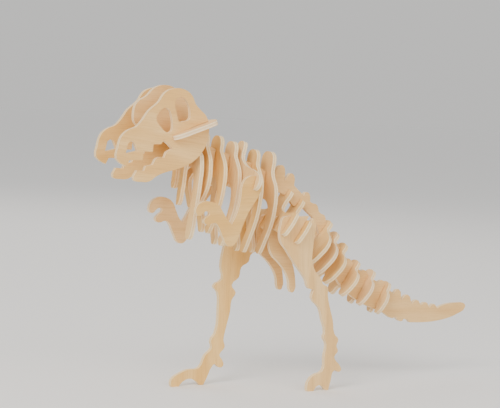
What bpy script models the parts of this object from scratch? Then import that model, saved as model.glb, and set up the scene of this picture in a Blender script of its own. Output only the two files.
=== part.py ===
"""Plywood dinosaur skeleton: flat plates held together by halved slots.

Metres, +Z up, snout towards -X, the dinosaur's left side towards -Y.
Lengthwise plates stand in planes of constant Y.  Cross plates hold the Y
direction and lean by an angle from the vertical.  Where two plates cross,
one is slotted from above and the other from below.
"""
import bmesh
import bpy
from math import cos, radians, sin
from mathutils import Matrix, Vector

MM = 0.001

# Sheet and joints
PLY = 3.0 * MM                  # thickness of every plate
GAP = 0.3 * MM                  # clearance on each side of a slot
SLOT = PLY + 2 * GAP            # width of every slot
SIZE = 1.0                      # scale of the outlines; the sheet keeps its thickness
U = SIZE * MM                   # unit of the outlines and of every place below
EDGE_STEPS = 3                  # straight pieces in each rounded stretch

# Places of the lengthwise plates
SKULL_Y = 14.0 * U
ARM_Y = 28.0 * U
PELVIS_Y = 7.5 * U
LEG_Y = 22.0 * U
STANCE = -5.0 * U             # the legs stand this far along X from their outlines

# Cross plates of the trunk: lean of their planes
RIB_LEAN = radians(7.0)
SHOULDER_LEAN = radians(16.0)
HIP_LEAN = radians(35.0)
BROW_LEAN = radians(69.0)
FAR_REACH = (-4.0 * U, -3.5 * U)    # the right hand reaches further forward and lower


def mm(points):
    """Points in millimetres to scaled metres; a third item marks a sharp corner."""
    return [(p[0] * U, p[1] * U, len(p) > 2) for p in points]


C = "corner"

SPINE = [
    (-118.6, 174), (-119.8, 181), (-117.8, 187), (-111, 191.6), (-105.4, 197), (-98, 199),
    (-91, 197.2), (-86, 193.2), (-82.5, 188.4), (-78.5, 185), (-75.2, 180), (-73.4, 172),
    (-70, 164.6), (-63, 161), (-52, 157.4), (-40, 153.8), (-28, 149.8), (-19, 145.4),
    (-13, 139.6, C), (-11.6, 145), (-9.6, 149.4), (-6.4, 150.2), (-4.4, 147.4), (-4.6, 139.4, C),
    (-1.6, 143.2), (0.8, 145), (3.4, 143.2), (3.6, 136.8, C), (12, 130, C), (13.6, 132.4),
    (16.4, 131.4), (17.4, 126, C), (19.6, 125), (23, 124), (25, 119.4, C), (27, 117.8),
    (30, 116.6), (31.4, 111, C), (37, 103), (44, 95), (50.4, 86.4, C), (53, 86.6),
    (57.4, 82), (63.6, 77.6, C), (66.4, 78.6), (71, 73.8), (79.4, 69.6, C), (82.8, 71),
    (86.8, 66.2), (93.6, 61, C), (98, 64.2), (101, 56, C), (106.6, 60), (110.6, 53, C),
    (115.4, 56), (119, 51.8, C), (123.8, 54), (127.2, 49.6, C), (131, 52.6), (134.6, 49.2, C),
    (139, 51.2), (153.8, 52.8), (160, 52), (161.2, 49.6), (153, 44.4), (145, 41.9),
    (132, 39.9), (121, 39.5), (109.8, 39.9, C), (107.8, 41.9, C), (104, 42.6, C), (102.4, 41),
    (99.4, 41.6), (96.6, 44.6, C), (93.6, 43.4), (86, 47.4), (76, 51), (67, 54.6), (58, 59.4),
    (49, 66), (42, 74), (36, 84), (30.6, 95), (26, 105), (21.8, 113.6), (15.6, 118.9),
    (12.4, 121.4), (4.5, 122.8), (1.2, 126), (-3.4, 130.2), (-9.4, 132.4), (-17, 133),
    (-29, 136.4), (-46, 141.4), (-58, 145), (-68, 148.6), (-77, 151.4), (-84, 153),
    (-90, 157.6), (-98, 164.6), (-108, 168.6),
]

SKULL = [
    (-135, 165.6), (-137, 159), (-137.8, 152.5), (-135.2, 149.6, C), (-131, 147.6, C),
    (-129, 151.4, C), (-119.6, 151.6, C), (-119.4, 157, C), (-113, 157, C), (-112.6, 161.7, C),
    (-107.4, 161.9, C), (-105.4, 164.4, C), (-98.8, 159.6, C), (-103, 157.2, C),
    (-104.6, 153.6, C), (-109.6, 153.4), (-112.4, 149, C), (-117.4, 148, C), (-118.4, 145, C),
    (-123.4, 145.2, C), (-125.4, 139.6), (-120, 138.2), (-114.5, 138.6), (-109.5, 142),
    (-103, 144.6), (-95, 146.6), (-84, 151.5), (-76, 160), (-73.4, 168), (-73.4, 175),
    (-75.6, 180.6), (-79.2, 183.8), (-83.6, 187.8), (-86.4, 193), (-92, 196.6), (-100, 196.8),
    (-106, 193.8), (-110, 188), (-116.5, 182.6), (-120.5, 177), (-125, 172.2), (-131, 169.6),
]
NOSTRIL = [(-131.8, 155.4, C), (-128.2, 163.4), (-123.6, 157.4, C)]
CHEEK_HOLE = [
    (-111.4, 177.6), (-109.8, 181.4), (-105.8, 184.6), (-102.4, 183.6), (-100.4, 179),
    (-99.4, 173.6), (-100.4, 170), (-103.4, 169.4), (-108, 172.6),
]

EYE_HOLE = [
    (-98.2, 189.6), (-95.2, 191.8), (-91.6, 190.8), (-88.4, 186.8), (-87.2, 181.4),
    (-87.8, 178), (-91.4, 176.8), (-95, 176.4), (-96.8, 180.4),
]

ARM = [
    (-88, 123.2), (-87.4, 119.2), (-85, 118.4), (-82.4, 120.6), (-79.8, 121.4), (-78, 119.8),
    (-80.6, 117.4), (-82, 114.8), (-79.6, 112.8), (-74, 114), (-71.4, 112), (-69, 107.6),
    (-67, 103.8), (-65, 100.2), (-62, 98.8), (-58.6, 100.4), (-55.6, 106.4), (-52.6, 114),
    (-49.6, 120.4), (-45.6, 126.4), (-41.6, 132.6), (-40.2, 138.6), (-41.6, 143),
    (-46, 144.2), (-51, 143), (-54.4, 138.8), (-55.4, 130), (-57.4, 121), (-61.5, 112.8, C),
    (-64.8, 116), (-68, 120.2), (-71.2, 124.4), (-77, 127.2), (-84, 127),
]

PELVIS = [
    (-13.4, 116.8), (-18, 110), (-19.6, 103.4), (-18.6, 96), (-15.6, 90), (-11.4, 86.4),
    (-5.4, 80), (-2, 73.4), (-0.8, 67), (1, 65.2), (3, 66.6), (3.2, 74), (1.4, 82),
    (-0.6, 88.8), (6, 92), (13, 97), (16.5, 105), (14, 111.4), (6, 113.8), (-2.8, 115.6),
    (-8, 113.8),
]

LEG_RIGHT = [
    (-31, 91), (-32.4, 80), (-31, 71.5), (-37.4, 67), (-34, 62.5), (-33, 52), (-34.4, 35),
    (-37.8, 29.8), (-36.8, 25), (-41.8, 20), (-46.2, 11.8), (-54.4, 11), (-60.8, 8.8),
    (-66.8, 5), (-67.4, 1.8), (-66.6, 0, C), (-61.5, 0, C), (-58, 3.4), (-52.4, 4.8),
    (-47.4, 2.4), (-45, 0, C), (-42.4, 0, C), (-40, 4.4), (-36, 12.4), (-33.8, 13.8),
    (-30.4, 11.2), (-27.4, 12.2), (-28, 15.8), (-30.6, 20), (-26.8, 25), (-28, 29.8),
    (-27, 36), (-23.8, 49.5), (-23, 57), (-20, 62), (-23.4, 67.4), (-18, 72.6), (-16.4, 79.4),
    (-10.6, 83.2), (-9.4, 87.6), (-4, 90.4), (4, 92.6), (12, 97), (13.4, 106),
    (13, 113), (9, 117.4), (0, 118), (-9, 118), (-14, 116), (-17, 111), (-24, 104), (-29, 98),
]

LEG_LEFT = [
    (-14.6, 113), (-15.4, 105), (-13.6, 100), (-10, 96), (-5.4, 90), (1.6, 82), (6.8, 75.6),
    (9.4, 70), (14, 68.8, C), (12.6, 63.2), (19, 56.4), (22, 48), (24.8, 39.2), (23.8, 36.4),
    (26.4, 31.4), (25.2, 22.8), (25.2, 15), (23.4, 12.6), (18.4, 11.2), (14, 8),
    (12.2, 2.8), (12.8, 0, C), (17.4, 0, C), (21, 3.6), (25, 2.8), (27.4, 0, C), (29.8, 0, C),
    (31.4, 6), (34.2, 13.4), (37.2, 12), (39.6, 13), (38.2, 16.6), (34.2, 20.6), (33.6, 23),
    (36.2, 26.2), (34.8, 30), (36, 34.4), (32.6, 38.2), (30.6, 47.6), (27.4, 57), (25.4, 65),
    (25, 70.2), (21, 72.4), (19.8, 75.2), (14.6, 80.4), (11.2, 88.8), (11.4, 96), (12, 105),
    (13, 112), (10, 117), (0, 117.6), (-9, 118), (-13.4, 116.6),
]

# name: place on the spine (x, z), half width, length below the spine, tip height, tip half width
RIBS = [
    ("rib_1", -68.0, 161.6, 14.6, 41.0, 8.6, 5.6),
    ("rib_2", -57.4, 158.6, 15.6, 54.0, 9.8, 5.8),
    ("rib_3", -46.5, 155.4, 15.6, 59.0, 9.6, 5.8),
    ("rib_4", -29.2, 150.0, 15.6, 58.0, 10.2, 5.8),
    ("rib_5", -17.7, 144.8, 15.8, 54.0, 14.4, 6.8),
]
NECK_HOOP = (-83.0, 153.6)      # places of the neck pieces on the spine's lower edge
NECK_RIB = (-75.8, 151.0)
SHOULDER = (-40.4, 153.6)       # place of the shoulder plate on the spine
# name: tip (x, z), lean in degrees, half width, length
TAIL = [
    ("tail_1", 35.4, 112.4, 40.0, 17.5, 38.0),
    ("tail_2", 41.6, 104.6, 39.0, 16.5, 36.0),
    ("tail_3", 49.2, 96.8, 38.0, 15.0, 33.0),
    ("tail_4", 60.6, 84.8, 36.0, 13.0, 28.5),
    ("tail_5", 74.4, 78.0, 32.0, 11.0, 27.5),
    ("tail_6", 88.4, 69.4, 28.0, 9.0, 24.5),
]
# name: place on the spine's lower edge (x, z), distance below it where the legs meet the plate
HIPS = [("hip_front", -2.4, 128.8, 19.6), ("hip_rear", 7.4, 122.6, 18.4)]
BROW = (-99.0, 166.0)

collection = None
cutters = None
root = None


def start():
    """Empty scene with one collection for the pieces and one for the cutters."""
    global collection, cutters, root
    for item in list(bpy.data.objects):
        bpy.data.objects.remove(item, do_unlink=True)
    collection = bpy.data.collections.new("wooden_dinosaur_jigsaw")
    cutters = bpy.data.collections.new("cutters")
    bpy.context.scene.collection.children.link(collection)
    bpy.context.scene.collection.children.link(cutters)
    root = bpy.data.objects.new("dinosaur_frame", None)
    collection.objects.link(root)


def plywood():
    material = bpy.data.materials.new("pale_plywood")
    material.use_nodes = True
    shader = material.node_tree.nodes["Principled BSDF"]
    shader.inputs["Base Color"].default_value = (0.66, 0.50, 0.32, 1.0)
    shader.inputs["Roughness"].default_value = 0.72
    return material


def spline_from(curve, points):
    """One closed outline: smooth through its points except at the sharp corners."""
    spline = curve.splines.new("BEZIER")
    spline.bezier_points.add(len(points) - 1)
    spline.use_cyclic_u = True
    spline.resolution_u = EDGE_STEPS
    for knot, (x, y, sharp) in zip(spline.bezier_points, points):
        knot.co = (x, y, 0.0)
        kind = "VECTOR" if sharp else "AUTO"
        knot.handle_left_type = kind
        knot.handle_right_type = kind


def plate(name, outlines, matrix, material):
    """A flat plate of the sheet, cut to its outlines and stood in its plane."""
    curve = bpy.data.curves.new(name, "CURVE")
    curve.dimensions = "2D"
    curve.fill_mode = "BOTH"
    curve.extrude = PLY / 2
    for points in outlines:
        spline_from(curve, points)
    shape = bpy.data.objects.new(name + "_curve", curve)
    collection.objects.link(shape)
    bpy.context.view_layer.update()
    graph = bpy.context.evaluated_depsgraph_get()
    mesh = bpy.data.meshes.new_from_object(shape.evaluated_get(graph))
    bpy.data.objects.remove(shape, do_unlink=True)
    weld(mesh)
    mesh.name = name
    mesh.materials.clear()
    mesh.materials.append(material)
    piece = bpy.data.objects.new(name, mesh)
    collection.objects.link(piece)
    piece.parent = root
    piece.location = matrix.to_translation()
    piece.rotation_euler = matrix.to_euler()
    return piece


def weld(mesh):
    """Joins the outline to its faces and makes each flat face one polygon."""
    work = bmesh.new()
    work.from_mesh(mesh)
    bmesh.ops.remove_doubles(work, verts=work.verts, dist=0.00002)
    bmesh.ops.dissolve_limit(work, angle_limit=radians(0.5), verts=work.verts, edges=work.edges)
    bmesh.ops.recalc_face_normals(work, faces=work.faces)
    work.to_mesh(mesh)
    work.free()


def lengthwise(y):
    """Stands a plate upright along the body: outline x, y become X and Z."""
    return Matrix.Translation((0, y, 0)) @ Matrix.Rotation(radians(90), 4, "X")


def crosswise(x, z, lean):
    """Stands a plate across the body: outline x runs along Y, outline y up the lean."""
    place = Matrix.Translation((x, 0, z)) @ Matrix.Rotation(lean, 4, "Y")
    return place @ Matrix.Rotation(radians(90), 4, "Z") @ Matrix.Rotation(radians(90), 4, "X")


def along(x, z, lean, distance):
    """Point (x, z) at a distance up the lean from a cross plate's place."""
    return x + distance * sin(lean), z + distance * cos(lean)


def crossed(outline, x, z, lean):
    """Middle of the stretch where a line up the lean from (x, z) runs inside an outline.

    Of several stretches it is the one nearest to (x, z); the result is a distance
    up the lean.
    """
    crossings = []
    for (ax, az, _), (bx, bz, _) in zip(outline, outline[1:] + outline[:1]):
        side_a = (ax - x) * cos(lean) - (az - z) * sin(lean)
        side_b = (bx - x) * cos(lean) - (bz - z) * sin(lean)
        if side_a * side_b < 0:
            share = side_a / (side_a - side_b)
            px = ax + share * (bx - ax)
            pz = az + share * (bz - az)
            crossings.append((px - x) * sin(lean) + (pz - z) * cos(lean))
    crossings.sort()
    middles = [(low + high) / 2 for low, high in zip(crossings[::2], crossings[1::2])]
    return min(middles, key=abs)


def cut(piece, centre, size, rotation):
    """Boolean slot: a box of the given size taken out of a piece."""
    mesh = bpy.data.meshes.new(piece.name + "_slot")
    half = [s / 2 for s in size]
    corners = [(i * half[0], j * half[1], k * half[2])
               for i in (-1, 1) for j in (-1, 1) for k in (-1, 1)]
    faces = [(0, 1, 3, 2), (4, 6, 7, 5), (0, 4, 5, 1), (2, 3, 7, 6), (0, 2, 6, 4), (1, 5, 7, 3)]
    mesh.from_pydata(corners, [], faces)
    box = bpy.data.objects.new(mesh.name, mesh)
    cutters.objects.link(box)
    box.parent = root
    box.location = centre
    box.rotation_euler = rotation
    box.hide_render = True
    box.display_type = "WIRE"
    slot = piece.modifiers.new("slot", "BOOLEAN")
    slot.operation = "DIFFERENCE"
    slot.solver = "EXACT"
    slot.object = box


def halve(upper, lower, place, lean, y, middle, up, down):
    """Cross two plates at one Y.

    `upper` is slotted from below (it goes on from above) and `lower` from above.
    `middle` is where the two slots meet, measured up the lean; `up` and `down`
    are how far each slot runs from there.
    """
    for piece, start_at, end_at in ((lower, middle - GAP / 2, middle + up),
                                    (upper, middle - down, middle + GAP / 2)):
        x, z = along(place[0], place[1], lean, (start_at + end_at) / 2)
        across = piece in crosspieces
        size = (4 * PLY, SLOT, end_at - start_at) if across else (SLOT, 4 * PLY, end_at - start_at)
        cut(piece, (x, y, z), size, (0, lean, 0))


crosspieces = []


def mirrored(half):
    """Closed symmetric outline from the points of its +x half, top to bottom."""
    other = [(-p[0],) + tuple(p[1:]) for p in reversed(half) if p[0] > 0.01]
    return mm(list(half) + other)


def hoop(name, x, z, half_width, length, tip, tip_half, material):
    """Rib: a rounded tip above the spine and two arms that curve in below it."""
    w = half_width
    crown = 17.6                # the arms part this far below the spine's top edge
    drop = length - crown
    half = [
        (0, tip), (tip_half * 0.72, tip - 1.5), (tip_half, tip - 5), (tip_half * 1.04, 0.5),
        (w * 0.56, -3), (w * 0.84, -8.5), (w * 0.97, -15), (w, -22),
        (w * 0.95, -crown - 0.38 * drop), (w * 0.82, -crown - 0.56 * drop),
        (w * 0.62, -crown - 0.76 * drop), (w * 0.44, -crown - 0.93 * drop), (w * 0.3, -length),
        (w * 0.16, -crown - 0.94 * drop), (w * 0.24, -crown - 0.8 * drop),
        (w * 0.42, -crown - 0.62 * drop), (w * 0.58, -crown - 0.42 * drop),
        (w * 0.62, -crown - 0.22 * drop), (w * 0.48, -crown - 2.4),
        (SLOT / U / 2 + 1.4, -crown),
    ]
    piece = plate(name, [mirrored(half)], crosswise(x * U, z * U, RIB_LEAN), material)
    crosspieces.append(piece)
    return piece


def build():
    start()
    wood = plywood()

    spine = plate("spine", [mm(SPINE)], lengthwise(0.0), wood)

    # Neck pieces go on from below; each has its left arm longer than its right
    neck_hoop = [
        (-6.2, 5.6), (-6.8, -8), (-7, -22), (-5.6, -29.6), (-4, -30.6), (-3, -28), (-2.6, -18),
        (-2.4, -4), (2.4, -4), (2.8, -12), (3.2, -18.6), (4.6, -20.4), (6.2, -19.4),
        (7, -12), (6.4, 5.6),
    ]
    neck_rib = [
        (-9, 6.4), (-13.4, -1), (-14.6, -12), (-14.4, -30), (-13.6, -46), (-12.2, -48.8),
        (-10.2, -49.6), (-8.4, -48), (-8, -40), (-8.6, -24), (-8, -12), (-5.4, -5.4), (0, -3.4),
        (5.4, -5.4), (8, -11), (8.8, -15.4), (11, -18), (13.2, -16.4), (14.4, -10), (13.2, -1),
        (9, 6.4),
    ]
    for name, (x, z), outline in (("neck_hoop", NECK_HOOP, neck_hoop),
                                  ("neck_rib", NECK_RIB, neck_rib)):
        collar = plate(name, [mm(outline)], crosswise(x * U, z * U, RIB_LEAN), wood)
        crosspieces.append(collar)
        halve(spine, collar, (x * U, z * U), RIB_LEAN, 0.0, 3 * U, 9 * U, 20 * U)

    # Ribs go on from above
    for name, x, z, w, length, tip, tip_half in RIBS:
        rib = hoop(name, x, z, w, length, tip, tip_half, wood)
        middle = crossed(mm(SPINE), x * U, z * U, RIB_LEAN)
        halve(rib, spine, (x * U, z * U), RIB_LEAN, 0.0, middle, 20 * U, 16 * U)

    # Shoulder plate: narrow tip, wide wings that carry the arms
    sx, sz = SHOULDER[0], SHOULDER[1]
    wing = ARM_Y / U
    shoulder_half = [
        (0, 12), (3, 11), (4.2, 7.6), (4.6, 2.4), (8.6, -2), (16, -5), (24, -6.6),
        (wing + 4, -10), (wing + 5.6, -14.4), (wing + 3.6, -18.6), (wing - 5, -20),
        (16, -18.6), (8, -18.8), (0, -19.6),
    ]
    shoulder = plate("shoulder", [mirrored(shoulder_half)],
                     crosswise(sx * U, sz * U, SHOULDER_LEAN), wood)
    crosspieces.append(shoulder)
    middle = crossed(mm(SPINE), sx * U, sz * U, SHOULDER_LEAN)
    halve(shoulder, spine, (sx * U, sz * U), SHOULDER_LEAN, 0.0, middle, 20 * U, 16 * U)

    # Arms hang on the wings, slotted from their tops
    for name, y, reach in (("arm_left", -ARM_Y, (0.0, 0.0)), ("arm_right", ARM_Y, FAR_REACH)):
        outline = []
        for ax, az, sharp in mm(ARM):
            share = min(max((136 * U - az) / (22 * U), 0.0), 1.0)
            outline.append((ax + reach[0] * share, az + reach[1] * share, sharp))
        arm = plate(name, [outline], lengthwise(y), wood)
        halve(shoulder, arm, (sx * U, sz * U), SHOULDER_LEAN, y, -14.4 * U, 20 * U, 9 * U)

    # Skull sides on the brow plate
    bx, bz = BROW
    brow_half = [
        (0, 26), (6, 28.2), (12, 31), (17, 32), (20.5, 30.6), (21.5, 27), (21, 14), (20, 4),
        (17.2, 0.2), (12.4, 0.6), (8, 5), (0, 6.4),
    ]
    brow = plate("brow", [mirrored(brow_half)], crosswise(bx * U, bz * U, BROW_LEAN), wood)
    crosspieces.append(brow)
    place = (bx * U, bz * U)
    halve(brow, spine, place, BROW_LEAN, 0.0, 14 * U, 24 * U, 18 * U)
    for name, y in (("skull_left", -SKULL_Y), ("skull_right", SKULL_Y)):
        side = plate(name, [mm(SKULL), mm(NOSTRIL), mm(CHEEK_HOLE), mm(EYE_HOLE)],
                     lengthwise(y), wood)
        halve(brow, side, place, BROW_LEAN, y, 14 * U, 24 * U, 18 * U)

    # Hip plates go on from below
    leg = LEG_Y / U
    hips = []
    for name, x, z, d in HIPS:
        hip_half = [
            (SLOT / U / 2 + 2, 5), (5.2, 4), (5.2, -4), (6, 11 - d), (9, 8.6 - d), (14, 7.4 - d),
            (leg, 8 - d), (leg + 4, 8.2 - d), (leg + 5.2, 5 - d), (leg + 5.2, -d - 5),
            (leg + 4, -d - 8.4), (leg - 1, -d - 8.8), (14, -d - 6.6), (8, -d - 6), (0, -d - 7),
        ]
        hip = plate(name, [mirrored(hip_half)], crosswise(x * U, z * U, HIP_LEAN), wood)
        crosspieces.append(hip)
        hips.append((hip, (x * U, z * U), d))
        halve(spine, hip, (x * U, z * U), HIP_LEAN, 0.0, 1.6 * U, 8 * U, 9 * U)

    for name, y in (("pelvis_left", -PELVIS_Y), ("pelvis_right", PELVIS_Y)):
        side = plate(name, [mm(PELVIS)], lengthwise(y), wood)
        for hip, at, d in hips:
            halve(hip, side, at, HIP_LEAN, y, -d * U, 30 * U, 14 * U)
    for name, y, outline in (("leg_left", -LEG_Y, LEG_LEFT), ("leg_right", LEG_Y, LEG_RIGHT)):
        stood = [(p[0] + STANCE, p[1], p[2]) for p in mm(outline)]
        side = plate(name, [stood], lengthwise(y), wood)
        for hip, at, d in hips:
            halve(hip, side, at, HIP_LEAN, y, -d * U, 24 * U, 14 * U)

    # Tail pieces go on from above
    for name, x, z, lean, w, length in TAIL:
        half = [
            (0, 0), (3.8, -1), (5.2, -3.8), (5.4, -7), (0.78 * w, -0.34 * length),
            (w, -0.5 * length), (0.96 * w, -0.72 * length), (0.7 * w, -0.95 * length),
            (0.46 * w, -length), (0.3 * w, -0.96 * length), (SLOT / U / 2 + 0.9, -0.8 * length),
        ]
        a = radians(lean)
        piece = plate(name, [mirrored(half)], crosswise(x * U, z * U, a), wood)
        crosspieces.append(piece)
        middle = crossed(mm(SPINE), x * U, z * U, a)
        halve(piece, spine, (x * U, z * U), a, 0.0, middle, 24 * U, length * U)


def centre_on_floor():
    """Moves the frame so the whole stands on Z = 0, centred in X."""
    bpy.context.view_layer.update()
    graph = bpy.context.evaluated_depsgraph_get()
    corners = []
    for piece in collection.objects:
        if piece.type == "MESH":
            shape = piece.evaluated_get(graph)
            corners += [shape.matrix_world @ Vector(corner) for corner in shape.bound_box]
    left = min(corner.x for corner in corners)
    right = max(corner.x for corner in corners)
    floor = min(corner.z for corner in corners)
    root.location = (-(left + right) / 2, 0, -floor)


build()
centre_on_floor()
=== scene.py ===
"""Pale plywood dinosaur skeleton on a plain floor, seen from its front left."""
from math import cos, radians, sin

import bpy
import numpy as np
from mathutils import Matrix, Vector

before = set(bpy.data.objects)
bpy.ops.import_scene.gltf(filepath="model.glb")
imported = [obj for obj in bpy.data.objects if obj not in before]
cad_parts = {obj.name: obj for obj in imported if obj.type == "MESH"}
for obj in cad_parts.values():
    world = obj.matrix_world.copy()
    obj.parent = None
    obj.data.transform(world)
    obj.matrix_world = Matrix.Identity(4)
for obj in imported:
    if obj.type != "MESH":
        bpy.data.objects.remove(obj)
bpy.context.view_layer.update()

# Camera
AZIMUTH = 33.938                # degrees round from the dinosaur's left side towards its snout
ELEVATION = 4.845               # degrees above the horizon
ROLL = 2.836                    # degrees, the picture's content turned clockwise
DISTANCE = 1.0                  # metres from the aim point
AIM = (-0.01155, 0.0, 0.100)    # point of the model that the camera is turned towards
SENSOR = 36.0                   # millimetres
LENS = 106.704                  # millimetres
SHIFT = (-0.0716, 0.0715)       # of the lens, as shares of the picture's width

# Wood
PLY = 0.003                     # sheet thickness
CORE_HALF = 0.00055             # half thickness of the middle layer
EDGE_ROUND = 0.00018            # sanded arris
FACE_LIGHT = (0.90, 0.600, 0.255)
FACE_MID = (0.82, 0.500, 0.180)
FACE_DARK = (0.60, 0.320, 0.100)
# Cut-edge colour: paler wood, raised further as a painted highlight along every edge
EDGE_PALE_WOOD_AND_HIGHLIGHT = (1.0, 0.80, 0.50)
EDGE_CORE = (0.72, 0.48, 0.22)
CORE_SHOWN = 0.55               # how strongly the middle layer shows on a cut edge
SHARP = radians(50)             # edges turned by more than this are sanded
GRAIN_SWAY = 6                  # degrees either way that a plate's grain leans

# Lights: name, place, width in metres, power in watts
LAMPS = [
    ("key", (-1.5, -0.9, 1.5), 1.0, 38.0),
    ("fill", (0.2, -1.8, 0.9), 1.6, 16.0),
    ("rim", (0.4, 1.4, 1.3), 0.9, 6.0),
]
SKY = 0.80
LAMP_COLOUR = (1.0, 0.94, 0.86)
LAMPS_AIM = Vector((0.0, 0.0, 0.1))
FLOOR = (0.88, 0.88, 0.88, 1.0)
FLOOR_WIDTH = 60.0              # metres, far enough for its edge to meet the sky unseen


def camera():
    """Perspective camera turned towards AIM, with a shifted lens that places it in the picture."""
    turn, lift = radians(AZIMUTH), radians(ELEVATION)
    back = Vector((-sin(turn) * cos(lift), -cos(turn) * cos(lift), sin(lift)))
    right = Vector((cos(turn), -sin(turn), 0.0))
    up = back.cross(right)
    view = Matrix((right, up, back)).transposed()
    view = view @ Matrix.Rotation(radians(ROLL), 3, "Z")
    data = bpy.data.cameras.new("photo_camera")
    data.sensor_width = SENSOR
    data.lens = LENS
    data.shift_x, data.shift_y = SHIFT
    data.clip_start = 0.01
    eye = bpy.data.objects.new("photo_camera", data)
    place = Vector(AIM) + view @ Vector((0.0, 0.0, DISTANCE))
    eye.matrix_world = Matrix.Translation(place) @ view.to_4x4()
    bpy.context.scene.collection.objects.link(eye)
    bpy.context.scene.camera = eye


def plate_frame(node):
    """Centre of a flat plate and the normal of its faces."""
    mesh = node.data
    areas = np.array([face.area for face in mesh.polygons])
    normals = np.array([face.normal[:] for face in mesh.polygons])
    centres = np.array([face.center[:] for face in mesh.polygons])
    normal = normals[np.argmax(areas)]
    facing = np.abs(normals @ normal) > 0.999
    depth = np.sum(areas[facing] * (centres[facing] @ normal)) / np.sum(areas[facing])
    points = np.array([vertex.co[:] for vertex in mesh.vertices])
    middle = (points.min(axis=0) + points.max(axis=0)) / 2
    centre = middle + normal * (depth - middle @ normal)
    return Vector(centre), Vector(normal)


class Tree:
    """Short helpers for building a shader tree."""

    def __init__(self, name):
        self.material = bpy.data.materials.new(name)
        self.material.use_nodes = True
        self.nodes = self.material.node_tree.nodes
        self.links = self.material.node_tree.links
        self.shader = self.nodes["Principled BSDF"]

    def feed(self, socket, value):
        if isinstance(value, bpy.types.NodeSocket):
            self.links.new(value, socket)
        else:
            socket.default_value = value

    def node(self, kind, output=0, settings=None, **inputs):
        item = self.nodes.new(kind)
        for key, value in (settings or {}).items():
            setattr(item, key, value)
        for key, value in inputs.items():
            self.feed(item.inputs[int(key[1:])] if key[0] == "i" and key[1:].isdigit()
                      else item.inputs[key], value)
        return item.outputs[output]

    def math(self, operation, a, b=0.0, c=0.0):
        return self.node("ShaderNodeMath", settings={"operation": operation}, i0=a, i1=b, i2=c)

    def stretch(self, vector, scale, shift=(0.0, 0.0, 0.0)):
        return self.node("ShaderNodeMapping", Vector=vector, Scale=scale, Location=shift)

    def noise(self, vector, scale=1.0, detail=2.0, roughness=0.5):
        return self.node("ShaderNodeTexNoise", Vector=vector, Scale=scale, Detail=detail,
                         Roughness=roughness)

    def ramp(self, value, low, high):
        """0 below low, 1 above high, smooth between."""
        return self.node("ShaderNodeMapRange", settings={"interpolation_type": "SMOOTHSTEP"},
                         Value=value, i1=low, i2=high)

    def mix(self, factor, a, b):
        item = self.nodes.new("ShaderNodeMix")
        item.data_type = "RGBA"
        self.feed(item.inputs["Factor"], factor)
        self.feed(item.inputs[6], (*a, 1.0) if isinstance(a, tuple) else a)
        self.feed(item.inputs[7], (*b, 1.0) if isinstance(b, tuple) else b)
        return item.outputs[2]


def plywood(name, centre, normal, grain, seed, tone):
    """Three-layer plywood with its grain along one direction of the plate."""
    tree = Tree(name)
    across = normal.cross(grain).normalized()
    axes = Matrix((grain, across, normal)).transposed()
    here = tree.node("ShaderNodeTexCoord", output=3)
    local = tree.node("ShaderNodeMapping", settings={"vector_type": "TEXTURE"}, Vector=here,
                      Location=centre, Rotation=axes.to_euler())
    parts = tree.nodes.new("ShaderNodeSeparateXYZ")
    tree.links.new(local, parts.inputs[0])
    depth = tree.math("ABSOLUTE", parts.outputs[2])
    shift = (seed * 3.7, seed * 1.3, seed * 0.9)

    # Face grain: slow bands, fibres and short dark pores
    bands = tree.noise(tree.stretch(local, (14.0, 95.0, 40.0), shift), detail=3.0)
    fibres = tree.noise(tree.stretch(local, (55.0, 1500.0, 700.0), shift), detail=3.0,
                        roughness=0.6)
    pores = tree.noise(tree.stretch(local, (260.0, 3600.0, 1200.0), shift), detail=1.0)
    blotch = tree.noise(tree.stretch(local, (28.0, 34.0, 30.0), shift), detail=2.0)
    face = tree.mix(tree.ramp(bands, 0.36, 0.66), FACE_LIGHT, FACE_MID)
    face = tree.mix(tree.math("MULTIPLY", tree.ramp(fibres, 0.42, 0.75), 0.42), face, FACE_DARK)
    face = tree.mix(tree.math("MULTIPLY", tree.ramp(pores, 0.64, 0.78), 0.38), face, FACE_DARK)
    face = tree.mix(tree.math("MULTIPLY", tree.ramp(blotch, 0.42, 0.72), 0.30), face, FACE_MID)

    # Cut edges: pale outer layers, made lighter still as a painted highlight, a darker end-grain
    # core, fine saw lines
    saw = tree.noise(tree.stretch(local, (1700.0, 1700.0, 220.0), shift), detail=2.0)
    end = tree.noise(tree.stretch(local, (2600.0, 2600.0, 2600.0), shift), detail=1.0)
    core = tree.math("SUBTRACT", 1.0, tree.ramp(depth, CORE_HALF * 0.8, CORE_HALF * 1.2))
    edge = tree.mix(tree.math("MULTIPLY", tree.ramp(saw, 0.45, 0.8), 0.35), EDGE_PALE_WOOD_AND_HIGHLIGHT, FACE_MID)
    inner = tree.mix(tree.ramp(end, 0.35, 0.7), FACE_MID, EDGE_CORE)
    edge = tree.mix(tree.math("MULTIPLY", core, CORE_SHOWN), edge, inner)
    on_face = tree.ramp(depth, PLY / 2 - EDGE_ROUND * 1.4, PLY / 2 - EDGE_ROUND * 0.5)
    colour = tree.mix(on_face, edge, face)
    tint = tree.node("ShaderNodeHueSaturation", Hue=0.5 + tone[0], Saturation=tone[1],
                     Value=tone[2], Color=colour)
    tree.links.new(tint, tree.shader.inputs["Base Color"])

    # Finish: bare wood, a little smoother where the fibres are dense
    rough = tree.node("ShaderNodeMapRange", Value=fibres, i3=0.56, i4=0.74)
    tree.links.new(rough, tree.shader.inputs["Roughness"])
    tree.shader.inputs["Specular IOR Level"].default_value = 0.32
    raised = tree.math("ADD", tree.math("MULTIPLY", fibres, on_face),
                       tree.math("MULTIPLY", saw, tree.math("SUBTRACT", 1.0, on_face)))
    relief = tree.math("SUBTRACT", raised, tree.math("MULTIPLY", tree.ramp(pores, 0.62, 0.8), 0.4))
    bump = tree.node("ShaderNodeBump", Strength=0.35, Distance=0.00008, Height=relief)
    tree.links.new(bump, tree.shader.inputs["Normal"])
    return tree.material


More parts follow.
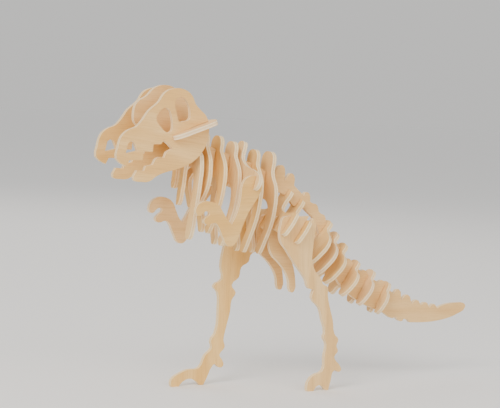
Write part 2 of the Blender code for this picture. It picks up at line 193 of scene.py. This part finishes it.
def finish_plate(node, seed):
    """Sanded arrises and a plywood of its own for one CAD plate."""
    centre, normal = plate_frame(node)
    lengthwise = abs(normal.y) > 0.9
    upright = Vector((0.0, 0.0, 1.0)) - normal * normal.z
    along = Vector((1.0, 0.0, 0.0))
    grain = along if lengthwise and "leg" not in node.name else upright
    grain = (grain - normal * grain.dot(normal)).normalized()
    grain.rotate(Matrix.Rotation(radians(seed * 47 % (2 * GRAIN_SWAY + 1) - GRAIN_SWAY), 3, normal))
    random = np.random.default_rng(seed)
    tone = (0.004 * random.uniform(-1, 1), 1 + 0.08 * random.uniform(-1, 1),
            1 + 0.045 * random.uniform(-1, 1))
    node.data.materials.clear()
    node.data.materials.append(plywood("plywood_" + node.name, centre, normal, grain, seed, tone))
    weld = node.modifiers.new("weld", "WELD")
    weld.merge_threshold = 0.00001
    bevel = node.modifiers.new("arris", "BEVEL")
    bevel.width = EDGE_ROUND
    bevel.segments = 2
    bevel.limit_method = "ANGLE"
    bevel.angle_limit = SHARP


def studio():
    """Pale floor that runs into a pale sky, soft key from the snout's side, weak fill."""
    bpy.ops.mesh.primitive_plane_add(size=FLOOR_WIDTH, location=(0, 0, 0))
    floor = bpy.context.object
    floor.name = "floor"
    tree = Tree("studio_floor")
    tree.shader.inputs["Base Color"].default_value = FLOOR
    tree.shader.inputs["Roughness"].default_value = 0.9
    tree.shader.inputs["Specular IOR Level"].default_value = 0.1
    floor.data.materials.append(tree.material)
    for name, place, size, power in LAMPS:
        data = bpy.data.lights.new(name, "AREA")
        data.size = size
        data.energy = power
        data.color = LAMP_COLOUR
        lamp = bpy.data.objects.new(name, data)
        lamp.location = place
        towards = LAMPS_AIM - Vector(place)
        lamp.rotation_euler = towards.to_track_quat("-Z", "Y").to_euler()
        bpy.context.scene.collection.objects.link(lamp)
    world = bpy.data.worlds.new("studio_sky")
    world.use_nodes = True
    nodes, links = world.node_tree.nodes, world.node_tree.links
    direction = nodes.new("ShaderNodeTexCoord")
    height = nodes.new("ShaderNodeSeparateXYZ")
    links.new(direction.outputs["Generated"], height.inputs[0])
    lift = nodes.new("ShaderNodeMapRange")      # dimmer at the horizon, where the floor ends
    lift.inputs[1].default_value = 0.02
    lift.inputs[2].default_value = 0.5
    lift.inputs[3].default_value = SKY * FLOOR[0]
    lift.inputs[4].default_value = SKY
    links.new(height.outputs[2], lift.inputs[0])
    links.new(lift.outputs[0], nodes["Background"].inputs[1])
    nodes["Background"].inputs[0].default_value = (1.0, 0.99, 0.97, 1.0)
    bpy.context.scene.world = world


camera()
for number, name in enumerate(sorted(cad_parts)):
    finish_plate(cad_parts[name], number + 1)
studio()
